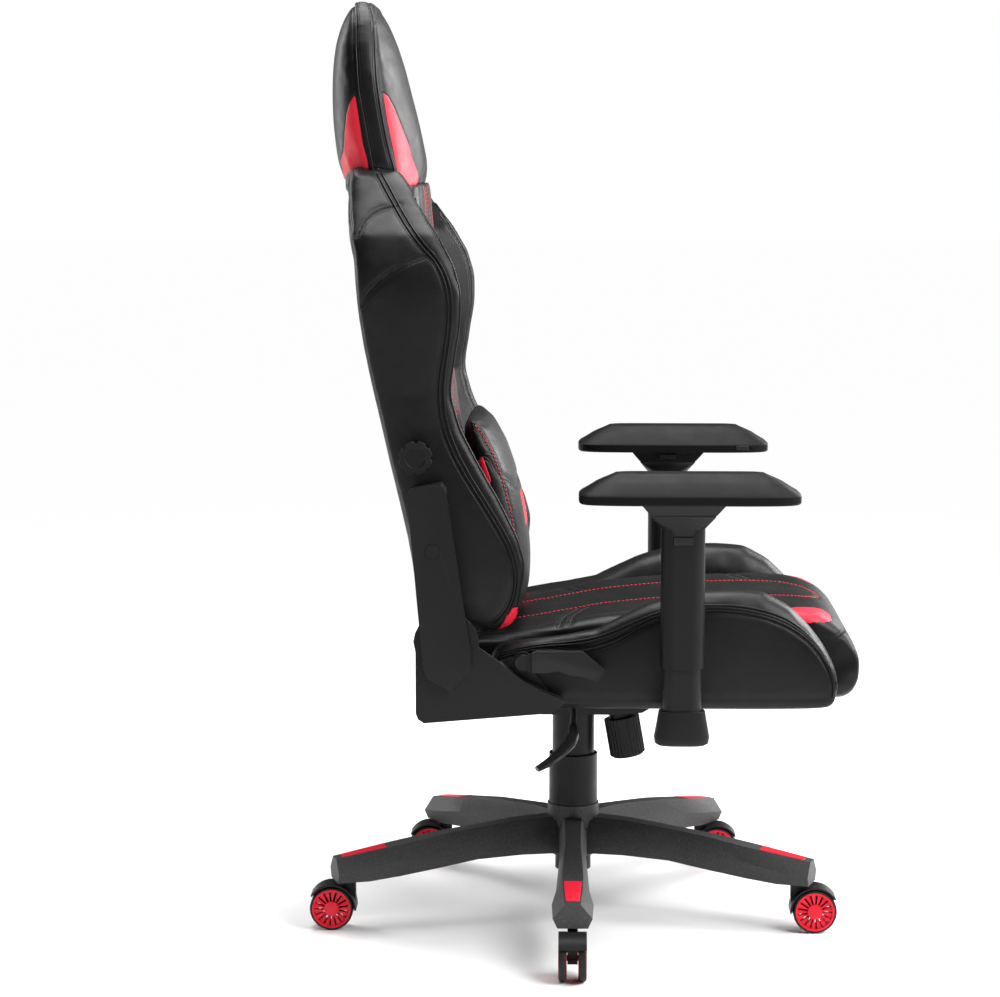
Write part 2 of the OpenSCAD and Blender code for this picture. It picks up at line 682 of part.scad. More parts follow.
star_base();
leg_trims();
column_tube();
dust_cover_lower();
caster_stems();
dust_cover_middle();
gas_rod();
gas_cylinder();
dust_cover_upper();
mechanism_housing();
tension_knob();
lever_clip();
height_lever();
tilt_plate();
seat_frame();
seat_straps();
seat_base_cover();
seat_cushion();
seat_bolsters();
side_covers();
recliner_plates();
seat_fasteners();
arm_brackets();
recline_lever();
back_frame();
back_pad();
back_rear_panel();
back_brackets();
bracket_covers();
lumbar_knob();
lumbar_pillow();
for (side = [-1, 1]) {
    word = side > 0 ? "left" : "right";
    back_wing(side);
    arm_sleeve(side);
    arm_height_button(side);
    arm_head(side);
    arm_head_button(side);
    arm_pad(side);
    arm_pad_button(side);
}
for (k = [1:5]) {
    caster_fork(k);
    caster_rims(k);
    caster_tyres(k);
}
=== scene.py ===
"""A racing-style gaming chair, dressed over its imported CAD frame. Metres, +Z up, +X to the front."""
import json
import math

import bmesh
import bpy
import numpy as np
from mathutils import Matrix, Vector, noise
from mathutils.bvhtree import BVHTree


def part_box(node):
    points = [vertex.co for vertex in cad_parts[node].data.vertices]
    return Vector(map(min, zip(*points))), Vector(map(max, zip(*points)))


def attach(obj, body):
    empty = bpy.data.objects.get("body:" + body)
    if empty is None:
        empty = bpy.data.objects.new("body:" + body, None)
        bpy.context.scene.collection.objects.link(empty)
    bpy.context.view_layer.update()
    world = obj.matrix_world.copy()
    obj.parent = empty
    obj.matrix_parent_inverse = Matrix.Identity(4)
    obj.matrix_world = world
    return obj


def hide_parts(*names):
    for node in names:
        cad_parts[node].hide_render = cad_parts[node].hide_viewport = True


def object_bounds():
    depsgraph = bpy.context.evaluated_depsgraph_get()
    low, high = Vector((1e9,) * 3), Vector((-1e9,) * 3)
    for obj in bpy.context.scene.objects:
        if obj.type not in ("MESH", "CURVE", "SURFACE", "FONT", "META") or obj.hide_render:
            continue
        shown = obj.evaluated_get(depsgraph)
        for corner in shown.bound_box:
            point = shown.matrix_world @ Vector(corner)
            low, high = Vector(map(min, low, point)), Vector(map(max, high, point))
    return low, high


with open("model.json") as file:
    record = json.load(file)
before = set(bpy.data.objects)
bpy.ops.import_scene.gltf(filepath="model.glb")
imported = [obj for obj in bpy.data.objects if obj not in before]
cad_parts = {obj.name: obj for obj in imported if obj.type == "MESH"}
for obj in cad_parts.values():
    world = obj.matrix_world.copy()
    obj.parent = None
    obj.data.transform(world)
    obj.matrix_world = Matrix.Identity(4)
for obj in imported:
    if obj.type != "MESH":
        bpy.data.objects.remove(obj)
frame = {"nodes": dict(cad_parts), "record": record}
cad_lo, cad_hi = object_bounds()
nodes = frame["nodes"]
scene = bpy.context.scene
MM = 0.001
FRAMES = 16  # cloth frames for the cushions

# How firmly the cloth is held beside a seam: a weight, from one distance to another.
HOLD = ((1.0, -1.0, 0.004), (0.55, 0.004, 0.008), (0.2, 0.008, 0.013))
FREE_REACH = 0.016  # beyond about this distance from a seam the padding swells freely
SHALLOW_DEPTH = 0.9 * MM  # of a shallow seam's dip
SHALLOW_REACH = 0.005
PUCKER_REACH = 0.022  # how far small folds reach from a seam
# Near-black painted shade for the bottom of seam grooves and the borders of coloured parts.
SEAM_SHADE_COLOUR = (0.003, 0.003, 0.003)
FLOOR_WHITE = (0.86, 0.86, 0.86)


# ---- small mesh helpers ---------------------------------------------------------


def new_object(name, mesh):
    """An object in the scene for a mesh."""
    obj = bpy.data.objects.new(name, mesh)
    scene.collection.objects.link(obj)
    return obj


def mesh_object(name, points, faces, smooth=True):
    """An object from lists of points and faces."""
    mesh = bpy.data.meshes.new(name)
    mesh.from_pydata([tuple(p) for p in points], [], [tuple(f) for f in faces])
    mesh.validate()
    mesh.polygons.foreach_set("use_smooth", [smooth] * len(mesh.polygons))
    return new_object(name, mesh)


def coords(mesh):
    """Vertex positions as an array."""
    out = np.empty(len(mesh.vertices) * 3, np.float32)
    mesh.vertices.foreach_get("co", out)
    return out.reshape(-1, 3).astype(float)


def normals(mesh):
    """Vertex normals as an array."""
    out = np.empty(len(mesh.vertices) * 3, np.float32)
    mesh.vertex_normals.foreach_get("vector", out)
    return out.reshape(-1, 3).astype(float)


def write_coords(mesh, co):
    """Moves a mesh's vertices."""
    mesh.vertices.foreach_set("co", co.astype(np.float32).ravel())
    mesh.update()


def store(mesh, name, values):
    """Keeps one number per vertex, for the shader."""
    layer = mesh.attributes.new(name, "FLOAT", "POINT")
    layer.data.foreach_set("value", np.asarray(values, np.float32))


def evaluated(obj):
    """The mesh of an object with its modifiers."""
    graph = bpy.context.evaluated_depsgraph_get()
    graph.update()
    return bpy.data.meshes.new_from_object(obj.evaluated_get(graph))


def bake_modifiers(obj):
    """Replaces an object's mesh by what its modifiers make."""
    made = evaluated(obj)
    obj.modifiers.clear()
    obj.data = made
    made.polygons.foreach_set("use_smooth", [True] * len(made.polygons))


def tree_of(mesh):
    """A search tree over a mesh's faces."""
    bm = bmesh.new()
    bm.from_mesh(mesh)
    tree = BVHTree.FromBMesh(bm)
    bm.free()
    return tree


def curve_through(points, step=4 * MM):
    """A smooth curve through the points, with a point about every step."""
    pts = [Vector(p) for p in points]
    ends = [pts[0] * 2 - pts[1]] + pts + [pts[-1] * 2 - pts[-2]]
    out = []
    for a, b, c, d in zip(ends, ends[1:], ends[2:], ends[3:]):
        n = max(1, math.ceil((c - b).length / step))
        for i in range(n):
            t = i / n
            out.append(0.5 * (2 * b + (c - a) * t + (2 * a - 5 * b + 4 * c - d) * t * t
                              + (3 * b - 3 * c + d - a) * t * t * t))
    out.append(pts[-1])
    return out


def eased(line, rounds):
    """The line with its small waves taken out; its ends stay."""
    for _ in range(rounds):
        line = [line[0]] + [(a + b * 2 + c) / 4 for a, b, c in zip(line, line[1:], line[2:])] + [line[-1]]
    return line


def snapped(tree, line, rounds=24):
    """The curve laid on the nearest surface."""
    line = eased([tree.find_nearest(p)[0] for p in line], rounds)
    return [tree.find_nearest(p)[0] for p in line]


def distance_to(co, lines, reach=0.04):
    """Each point's distance to the nearest of the lines, up to reach."""
    best = np.full(len(co), reach)
    for line in lines:
        arr = np.array([tuple(p) for p in line])
        near = np.where(((co > arr.min(0) - reach) & (co < arr.max(0) + reach)).all(1))[0]
        if len(near) == 0:
            continue
        pts = co[near]
        low = best[near]
        for a, b in zip(arr, arr[1:]):
            ab = b - a
            size = max(float(ab @ ab), 1e-12)
            t = np.clip((pts - a) @ ab / size, 0, 1)
            gap = pts - a - t[:, None] * ab
            low = np.minimum(low, np.sqrt((gap * gap).sum(1)))
        best[near] = low
    return best


def inside_distance(flat, polygon):
    """Signed distance of points in a plane to a polygon: below 0 inside it."""
    poly = np.array(polygon, float)
    best = np.full(len(flat), 1e9)
    inside = np.zeros(len(flat), bool)
    for a, b in zip(poly, np.roll(poly, -1, 0)):
        ab = b - a
        t = np.clip((flat - a) @ ab / (ab @ ab), 0, 1)
        gap = flat - a - t[:, None] * ab
        best = np.minimum(best, np.sqrt((gap * gap).sum(1)))
        rises = (a[1] > flat[:, 1]) != (b[1] > flat[:, 1])
        with np.errstate(divide="ignore", invalid="ignore"):
            cross = (b[0] - a[0]) * (flat[:, 1] - a[1]) / (b[1] - a[1]) + a[0]
        inside ^= rises & (flat[:, 0] < cross)
    return np.where(inside, -best, best)


def tube_mesh(points, faces, line, radius, sides=8):
    """Adds a round cord along a line to lists of points and faces."""
    base = len(points)
    count = len(line)
    up = None
    for i, p in enumerate(line):
        ahead = line[min(i + 1, count - 1)] - line[max(i - 1, 0)]
        ahead.normalize()
        if up is None:
            up = ahead.orthogonal().normalized()
        up = (up - ahead * up.dot(ahead)).normalized()
        side = ahead.cross(up)
        r = radius * (0.35 if i in (0, count - 1) else 1)
        for k in range(sides):
            a = 2 * math.pi * k / sides
            points.append(p + up * (r * math.cos(a)) + side * (r * math.sin(a)))
    for i in range(count - 1):
        for k in range(sides):
            a = base + i * sides + k
            b = base + i * sides + (k + 1) % sides
            faces.append((a, b, b + sides, a + sides))
    faces.append(tuple(base + k for k in reversed(range(sides))))
    faces.append(tuple(base + (count - 1) * sides + k for k in range(sides)))


def piping(name, body, lines, radius, mat):
    """Sewn-in cord along each line, as one piece."""
    points, faces = [], []
    for line in lines:
        tube_mesh(points, faces, line, radius)
    obj = mesh_object(name, points, faces)
    obj.data.materials.append(mat)
    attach(obj, body)
    return obj


def even(line, step):
    """Points at an even spacing along a line."""
    out = [line[0]]
    left = step
    for a, b in zip(line, line[1:]):
        size = (b - a).length
        done = 0.0
        while size - done >= left:
            done += left
            out.append(a.lerp(b, done / size))
            left = step
        left -= size - done
    return out


def stitches(name, body, lines, mat, pitch=6.0 * MM, radius=0.8 * MM, lift=0.6 * MM):
    """Short threads that lie along each line, with a gap between them."""
    points, faces = [], []
    for line, tree in lines:
        spots = even(line, pitch)
        for a, b in zip(spots, spots[1:]):
            out = tree.find_nearest(a.lerp(b, 0.5))[1]
            ends = [a.lerp(b, t) + out * (lift if 0 < i < 3 else -radius)
                    for i, t in enumerate((0.08, 0.22, 0.72, 0.86))]
            tube_mesh(points, faces, ends, radius, 5)
    obj = mesh_object(name, points, faces)
    obj.data.materials.append(mat)
    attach(obj, body)
    return obj


# ---- materials ---------------------------------------------------------------------


class Shader:
    """A material's node tree, with one short call for each thing it needs."""

    def __init__(self, name, colour, roughness, metallic=0.0, specular=0.5):
        self.mat = bpy.data.materials.new(name)
        self.mat.use_nodes = True
        self.tree = self.mat.node_tree
        self.bsdf = self.tree.nodes["Principled BSDF"]
        self.set("Base Color", (*colour, 1))
        self.set("Roughness", roughness)
        self.set("Metallic", metallic)
        self.set("Specular IOR Level", specular)
        self.place = self.node("ShaderNodeTexCoord").outputs["Object"]
        self.normal = None

    def set(self, socket, value):
        """Gives a socket of the surface a fixed value."""
        self.bsdf.inputs[socket].default_value = value

    def node(self, kind, links=(), **values):
        """A new node; each link is an input with what feeds it, or with its value."""
        made = self.tree.nodes.new(kind)
        for key, value in values.items():
            setattr(made, key, value)
        for socket, source in links:
            if hasattr(source, "is_linked"):
                self.tree.links.new(source, made.inputs[socket])
            else:
                made.inputs[socket].default_value = source
        return made

    def math(self, operation, a, b=0.0, c=0.0):
        """Arithmetic on numbers or outputs."""
        links = [(0, a), (1, b), (2, c)]
        return self.node("ShaderNodeMath", links, operation=operation).outputs[0]

    def noise(self, scale, detail=3.0, roughness=0.5, stretch=None):
        """Cloudy noise from 0 to 1."""
        source = self.place
        if stretch:
            source = self.node("ShaderNodeMapping", [("Vector", source), ("Scale", stretch)]).outputs[0]
        links = [("Vector", source), ("Scale", scale), ("Detail", detail), ("Roughness", roughness)]
        return self.node("ShaderNodeTexNoise", links).outputs["Fac"]

    def cells(self, scale, feature="F1", randomness=1.0):
        """Distance to the middle of the nearest cell."""
        links = [("Vector", self.place), ("Scale", scale), ("Randomness", randomness)]
        return self.node("ShaderNodeTexVoronoi", links, feature=feature).outputs["Distance"]

    def number(self, name):
        """A number kept per vertex, see store."""
        return self.node("ShaderNodeAttribute", attribute_name=name, attribute_type="GEOMETRY").outputs["Fac"]

    def between(self, value, low, high, out_low=0.0, out_high=1.0):
        """The value's place from low to high, as a number from out_low to out_high."""
        ends = [("From Min", low), ("From Max", high), ("To Min", out_low), ("To Max", out_high)]
        return self.node("ShaderNodeMapRange", [("Value", value)] + ends).outputs[0]

    def mix(self, factor, a, b):
        """A colour from a, at factor 0, to b."""
        made = self.node("ShaderNodeMix", data_type="RGBA")
        for index, source in ((0, factor), (6, a), (7, b)):
            if hasattr(source, "is_linked"):
                self.tree.links.new(source, made.inputs[index])
            else:
                made.inputs[index].default_value = source if index == 0 else (*source, 1)
        return made.outputs[2]

    def bump(self, height, strength, distance):
        """Adds a relief on top of the ones before it."""
        links = [("Height", height), ("Strength", strength), ("Distance", distance)]
        if self.normal:
            links.append(("Normal", self.normal))
        self.normal = self.node("ShaderNodeBump", links).outputs[0]

    def link(self, source, socket):
        """Feeds a socket of the surface."""
        self.tree.links.new(source, self.bsdf.inputs[socket])

    def done(self):
        """The finished material."""
        if self.normal:
            self.link(self.normal, "Normal")
        return self.mat


def leather(name, colour, second, seams=True, rough=(0.34, 0.50)):
    """Grained synthetic leather. With seams, it reads a piece's distances to its seams and coloured parts,
    and paints shade into its seam grooves and along the borders of the coloured parts.
    """
    s = Shader(name, colour, 0.4, specular=0.22)
    tone = s.noise(9.0, 4.0)
    dark = tuple(c * 0.72 for c in colour)
    base = s.mix(s.between(tone, 0.35, 0.7), dark, colour)
    wear = s.noise(55.0, 3.0)
    broad_shine = s.between(tone, 0.3, 0.7, rough[0], rough[1])
    shine = s.math("ADD", broad_shine, s.between(wear, 0.3, 0.7, -0.03, 0.04))
    s.bump(s.noise(26.0, 3.0, 0.6), 0.10, 0.003)
    s.bump(s.cells(620.0, "SMOOTH_F1"), 0.22, 0.0005)
    s.bump(s.noise(1700.0, 2.0), 0.12, 0.0003)
    if seams:
        seam = s.number("seam")
        red = s.number("red")
        in_red = s.between(red, 0.0004, -0.0004)
        other = s.mix(s.between(tone, 0.35, 0.7), tuple(c * 0.8 for c in second), second)
        base = s.mix(in_red, base, other)
        # Painted shade: a dark line at the bottom of each seam groove.
        groove = s.between(seam, 0.0, 0.0016, 0.0, 1.0)
        base = s.mix(groove, SEAM_SHADE_COLOUR, base)
        # Painted shade: a dark line along the borders of the red parts, where their seams sink in.
        border = s.between(s.math("ABSOLUTE", red), 0.0003, 0.0013)
        base = s.mix(border, SEAM_SHADE_COLOUR, base)
        s.bump(border, 0.7, 0.0010)
        row = s.math("ABSOLUTE", s.math("SUBTRACT", seam, 0.0048))
        s.bump(s.between(row, 0.0, 0.0009), 0.5, 0.0007)
        s.bump(groove, 0.9, 0.0016)
        shine = s.math("ADD", shine, s.between(seam, 0.0, 0.003, 0.25, 0.0))
    s.link(base, "Base Color")
    s.link(shine, "Roughness")
    return s.done()


def moulded(name, colour, rough, grain=900.0, depth=0.0003, strength=0.25, specular=0.18, edge=0.0):
    """Moulded plastic with a spark-eroded grain and slight marks; edge sets how strongly its sharp edges get
    a painted highlight, a paler colour.
    """
    s = Shader(name, colour, rough, specular=specular)
    tone = s.noise(5.0, 4.0)
    dark = tuple(c * 0.8 for c in colour)
    base = s.mix(s.between(tone, 0.3, 0.7), dark, colour)
    if edge:
        # Painted highlight: sharp convex edges, found by the mesh's pointiness, are mixed towards a paler
        # colour.
        highlight_pointiness = s.node("ShaderNodeNewGeometry").outputs["Pointiness"]
        highlight_colour = tuple(min(1.0, c * 2.2 + 0.02) for c in colour)
        base = s.mix(s.between(highlight_pointiness, 0.52, 0.60, 0.0, edge), base, highlight_colour)
    marks = s.noise(38.0, 5.0, 0.6)
    s.link(base, "Base Color")
    s.link(s.between(marks, 0.3, 0.7, rough - 0.05, rough + 0.07), "Roughness")
    s.bump(s.noise(grain, 2.0, 0.6), strength, depth)
    s.bump(s.noise(14.0, 2.0), 0.05, 0.003)
    return s.done()


def base_nylon():
    """Sandy glass-filled nylon of the star base, with light specks."""
    s = Shader("base_nylon", (0.030, 0.030, 0.031), 0.55, specular=0.4)
    speck = s.noise(620.0, 2.0, 0.7)
    tone = s.noise(7.0, 3.0)
    base = s.mix(s.between(tone, 0.3, 0.7), (0.024, 0.024, 0.025), (0.034, 0.034, 0.035))
    s.link(s.mix(s.between(speck, 0.55, 0.75), base, (0.085, 0.085, 0.087)), "Base Color")
    s.link(s.between(speck, 0.3, 0.7, 0.62, 0.44), "Roughness")
    s.bump(speck, 0.35, 0.0005)
    return s.done()


def tyre_rubber():
    """Soft caster tread, a little dusty."""
    s = Shader("tyre", (0.007, 0.007, 0.007), 0.55, specular=0.3)
    dust = s.noise(120.0, 4.0, 0.6)
    s.link(s.mix(s.between(dust, 0.4, 0.8), (0.005, 0.005, 0.005), (0.018, 0.017, 0.016)), "Base Color")
    s.link(s.between(dust, 0.3, 0.7, 0.45, 0.7), "Roughness")
    s.bump(s.noise(1100.0, 2.0), 0.2, 0.0003)
    return s.done()


def steel(name, colour, rough, painted=False):
    """Turned and plated steel, or sheet steel with a powder coat."""
    s = Shader(name, colour, rough, metallic=0.0 if painted else 1.0, specular=0.2 if painted else 0.5)
    if painted:
        s.bump(s.noise(420.0, 2.0, 0.6), 0.3, 0.0004)
        s.link(s.between(s.noise(60.0, 3.0), 0.3, 0.7, rough - 0.05, rough + 0.08), "Roughness")
        s.link(s.mix(s.noise(11.0), tuple(c * 0.8 for c in colour), colour), "Base Color")
        return s.done()
    lines = s.noise(300.0, 3.0, 0.6, stretch=(1.0, 1.0, 0.03))
    s.link(s.mix(lines, tuple(c * 0.8 for c in colour), colour), "Base Color")
    s.link(s.between(lines, 0.3, 0.7, rough - 0.08, rough + 0.1), "Roughness")
    s.bump(lines, 0.08, 0.0002)
    return s.done()


def woven(name, colour, across, along):
    """Cloth in a plain weave, with threads across X and along Y."""
    s = Shader(name, colour, 0.85, specular=0.2)
    split = s.node("ShaderNodeSeparateXYZ", [("Vector", s.place)])
    warp = s.math("SINE", s.math("MULTIPLY", split.outputs[0], across))
    weft = s.math("SINE", s.math("MULTIPLY", split.outputs[1], along))
    height = s.math("MULTIPLY", warp, weft)
    s.link(s.mix(s.between(height, -1.0, 1.0), tuple(c * 0.5 for c in colour), colour), "Base Color")
    s.link(s.between(s.noise(90.0), 0.3, 0.7, 0.78, 0.92), "Roughness")
    s.bump(height, 0.6, 0.0006)
    s.bump(s.noise(900.0), 0.2, 0.0004)
    return s.done()


def thread(name, colour):
    """Twisted sewing thread."""
    s = Shader(name, colour, 0.55, specular=0.4)
    twist = s.noise(2600.0, 1.0)
    s.link(s.mix(s.between(twist, 0.3, 0.7), tuple(c * 0.6 for c in colour), colour), "Base Color")
    s.link(s.between(twist, 0.3, 0.7, 0.45, 0.65), "Roughness")
    s.bump(twist, 0.4, 0.0003)
    return s.done()


BLACK = (0.0046, 0.0046, 0.0049)
RED = (0.78, 0.016, 0.040)
MATERIALS = {
    "black_leather": leather("black_leather", BLACK, RED),
    "piping_leather": leather("piping_leather", (0.0065, 0.0065, 0.0070), RED, seams=False,
                              rough=(0.28, 0.40)),
    "red_thread": thread("red_thread", (0.62, 0.012, 0.03)),
    "base_nylon": base_nylon(),
    "red_plastic": moulded("red_plastic", (0.76, 0.014, 0.035), 0.34, grain=1500.0, strength=0.1,
                           edge=0.3),
    "tyre": tyre_rubber(),
    "black_plastic": moulded("black_plastic", (0.0080, 0.0080, 0.0085), 0.40, grain=1000.0, edge=0.35),
    "button_plastic": moulded("button_plastic", (0.012, 0.012, 0.0125), 0.30, grain=1600.0, strength=0.12,
                              edge=0.5),
    "arm_pad_pu": moulded("arm_pad_pu", (0.0050, 0.0050, 0.0052), 0.48, grain=650.0, depth=0.0004,
                          strength=0.3, specular=0.10),
    "black_steel": steel("black_steel", (0.0080, 0.0080, 0.0085), 0.42, painted=True),
    "steel": steel("steel", (0.55, 0.56, 0.58), 0.32),
    "webbing": woven("webbing", (0.020, 0.020, 0.024), 2400.0, 1500.0),
    "lining": woven("lining", (0.016, 0.016, 0.017), 3200.0, 3200.0),
}


# ---- CAD parts ----------------------------------------------------------------------

# How far each hard part's edges are rounded, in millimetres; the rest get the usual.
EDGE = {
    "star_base": 1.6,
    "leg_trims": 0.3,
    "side_covers": 4.0,
    "bracket_covers": 1.2,
    "recline_lever": 1.2,
    "tension_knob": 0.4,
    "gas_rod": 0.3,
    "seat_straps": 0.4,
    "seat_frame": 0.3,
    "lumbar_knob": 0.9,
}
USUAL_EDGE = 0.7
FLAT_ANGLE = math.radians(0.4)  # faces closer than this to one plane are merged
EDGE_ANGLE = math.radians(33)  # edges sharper than this are rounded


def dress_hard_parts():
    """Rounds the edges of the CAD parts and gives each one its material."""
    slots = {part["node"]: part["material_slot"] for part in frame["record"]["subparts"]}
    for name, obj in nodes.items():
        mesh = obj.data
        if "custom_normal" in mesh.attributes:
            mesh.attributes.remove(mesh.attributes["custom_normal"])
        mesh.polygons.foreach_set("use_smooth", [True] * len(mesh.polygons))
        weld = obj.modifiers.new("weld", "WELD")
        weld.merge_threshold = 0.00002
        flat = obj.modifiers.new("flat", "DECIMATE")
        flat.decimate_type = "DISSOLVE"
        flat.angle_limit = FLAT_ANGLE
        edge = obj.modifiers.new("edge", "BEVEL")
        edge.width = EDGE.get(name, USUAL_EDGE) * MM
        edge.segments = 3
        edge.limit_method = "ANGLE"
        edge.angle_limit = EDGE_ANGLE
        edge.use_clamp_overlap = True
        shade = obj.modifiers.new("shade", "WEIGHTED_NORMAL")
        shade.keep_sharp = False
        mat = MATERIALS[slots[name]]
        if not mesh.materials:
            mesh.materials.append(mat)
        for i in range(len(mesh.materials)):
            mesh.materials[i] = mat


# ---- upholstery -----------------------------------------------------------------------


class Corner:
    """Places on a part, in millimetres from the low corner of its box."""

    def __init__(self, node, side=1):
        self.lo, self.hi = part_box(node)
        self.side = side

    def at(self, x, z, y):
        """A point near the part: x and z from the corner, y out from the chair's middle."""
        return Vector((self.lo.x + x * MM, self.side * y * MM, self.lo.z + z * MM))

    def line(self, y, pairs):
        """A smooth curve through the (x, z) pairs, at a distance y from the chair's middle."""
        return curve_through([self.at(x, z, y) for x, z in pairs])

    def flat(self, pairs):
        """The pairs as x and z of the chair's frame."""
        return [(self.lo.x + x * MM, self.lo.z + z * MM) for x, z in pairs]


class Cushion:
    """One sewn piece: its shape comes from a CAD part, and its seams are laid on that.

    Lengths are in millimetres. keep picks the points of the CAD part that it uses and reshape moves them;
    thicken pushes its front out, shrink draws it all in, and cap is how far it may swell. dip is the depth
    and the reach of a seam's groove, and folds is the height of the small folds. red_areas, red_lines,
    shallow seams and the raised band are filled in by the piece's own function.
    """

    def __init__(self, name, node, body, voxel=6.0, shrink=4.5, cap=7.0, pressure=4.0, smooth=6,
                 keep=None, reshape=None, thicken=0.0, dip=(2.0, 7.0), folds=0.25):
        self.name, self.node, self.body = name, node, body
        self.cap, self.pressure = cap * MM, pressure
        self.dip, self.folds = [v * MM for v in dip], folds * MM
        mesh = nodes[node].data.copy()
        mesh.name = name
        mesh.materials.clear()
        self.obj = new_object(name, mesh)
        bm = bmesh.new()
        bm.from_mesh(mesh)
        bmesh.ops.remove_doubles(bm, verts=bm.verts, dist=0.00002)
        if keep:
            gone = [v for v in bm.verts if not keep(v.co)]
            bmesh.ops.delete(bm, geom=gone, context="VERTS")
            holes = [e for e in bm.edges if e.is_boundary]
            bmesh.ops.holes_fill(bm, edges=holes, sides=0)
        if reshape:
            for v in bm.verts:
                v.co = reshape(v.co.copy())
        bmesh.ops.recalc_face_normals(bm, faces=bm.faces)
        if thicken:
            for v in [v for v in bm.verts if v.normal.x > 0.2]:
                v.co.x += thicken * MM
        bm.to_mesh(mesh)
        bm.free()
        remesh = self.obj.modifiers.new("remesh", "REMESH")
        remesh.mode = "VOXEL"
        remesh.voxel_size = voxel * MM
        soften = self.obj.modifiers.new("soften", "SMOOTH")
        soften.factor = 0.5
        soften.iterations = smooth
        thinner = self.obj.modifiers.new("thinner", "DISPLACE")
        thinner.strength = -shrink * MM
        thinner.mid_level = 0.0
        bake_modifiers(self.obj)
        self.seams, self.shallow, self.threads = [], [], []
        self.red_areas, self.red_lines = [], []
        self.raised = lambda co: 0.0

    def prepare(self):
        """Lays the seams on the shape and starts the cloth, pinned along them."""
        mesh = self.obj.data
        tree = tree_of(mesh)
        self.start = coords(mesh)
        lines = [snapped(tree, line) for line in self.seams + self.shallow]
        held = distance_to(self.start, lines)
        self.slack = 1 - np.exp(-((held / FREE_REACH) ** 2))
        group = self.obj.vertex_groups.new(name="held")
        for weight, low, high in HOLD:
            chosen = np.where((held > low) & (held <= high))[0]
            group.add([int(i) for i in chosen], weight, "REPLACE")
        cloth = self.obj.modifiers.new("cloth", "CLOTH").settings
        cloth.quality = 4
        cloth.mass = 0.35
        cloth.tension_stiffness = 12
        cloth.compression_stiffness = 12
        cloth.shear_stiffness = 6
        cloth.bending_stiffness = 0.6
        cloth.air_damping = 2.0
        cloth.use_pressure = True
        cloth.uniform_pressure_force = self.pressure
        cloth.vertex_group_mass = "held"
        cloth.pin_stiffness = 1.0
        cloth.effector_weights.gravity = 0

    def settle(self):
        """Keeps the swollen shape, adds detail, and stores distances to seams and coloured parts."""
        obj = self.obj
        graph = bpy.context.evaluated_depsgraph_get()
        swollen = obj.evaluated_get(graph).to_mesh()
        grown = coords(swollen)
        obj.evaluated_get(graph).to_mesh_clear()
        obj.modifiers.clear()
        move = grown - self.start
        size = np.maximum(np.sqrt((move * move).sum(1)), 1e-9)
        limit = self.cap * np.tanh(size / self.cap)
        write_coords(obj.data, self.start + move * (limit / size)[:, None])
        even_out = obj.modifiers.new("even", "SMOOTH")
        even_out.iterations = 2
        finer = obj.modifiers.new("finer", "SUBSURF")
        finer.levels = 1
        finer.render_levels = 1
        bake_modifiers(obj)
        self.tree = tree_of(obj.data)
        co = coords(obj.data)
        out = normals(obj.data)
        self.laid = [snapped(self.tree, line) for line in self.seams]
        seam = distance_to(co, self.laid)
        pucker = np.array([noise.noise(Vector(p) * 90.0) for p in co.tolist()])
        broad = np.array([noise.noise(Vector(p) * 14.0) for p in co.tolist()])
        soft = distance_to(co, [snapped(self.tree, line) for line in self.shallow])
        depth, reach = self.dip
        dip = depth * np.exp(-((seam / reach) ** 2)) + SHALLOW_DEPTH * np.exp(-((soft / SHALLOW_REACH) ** 2))
        folds = self.folds * (pucker * np.exp(-((seam / PUCKER_REACH) ** 2)) + broad)
        write_coords(obj.data, co + out * (folds - dip + self.raised(co))[:, None])
        self.tree = tree_of(obj.data)
        co = coords(obj.data)
        self.laid = [snapped(self.tree, line) for line in self.seams]
        red = np.full(len(co), 0.05)
        for axes, polygon, test in self.red_areas:
            area = inside_distance(co[:, axes], polygon)
            red = np.where(test(co), np.minimum(red, area), red)
        for line, width in self.red_lines:
            red = np.minimum(red, distance_to(co, [snapped(self.tree, line)]) - width * MM)
        store(obj.data, "seam", distance_to(co, self.laid))
        store(obj.data, "red", red)
        obj.data.materials.append(MATERIALS["black_leather"])
        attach(obj, self.body)
        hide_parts(self.node)

    def lay(self, line, lift=0.0):
        """A curve laid on the finished piece and lifted off it."""
        found = [self.tree.find_nearest(p) for p in snapped(self.tree, line)]
        return eased([spot + out * lift for spot, out, _, _ in found], 4)


def stepped(rows):
    """A function that reads a value off the rows of (place, value)."""
    return lambda place: float(np.interp(place, [r[0] for r in rows], [r[1] for r in rows]))


def wing_reshape(p):
    """Draws a wing's top up and in to meet the head, and its foot forward."""
    shoulder, height = 0.99, 0.039  # where the top part starts, and its height in the CAD
    if p.z > shoulder:
        t = (p.z - shoulder) / height
        inner = 1 - min(1.0, max(0.0, (abs(p.y) - 0.154) / 0.02))
        p.y -= math.copysign(t * (0.022 + 0.020 * inner), p.y)
        top = np.interp(p.x, [-0.306, -0.297, -0.286, -0.262, -0.223], [1.029, 1.046, 1.055, 1.053, 1.042])
        p.z = shoulder + t * (top - shoulder)
    if p.z > 0.96 and p.x < -0.28:
        p.x -= 0.006
    if p.z < 0.48 and p.x > -0.15:
        p.x += min(1.0, (0.48 - p.z) / 0.03) * 0.012
    return p


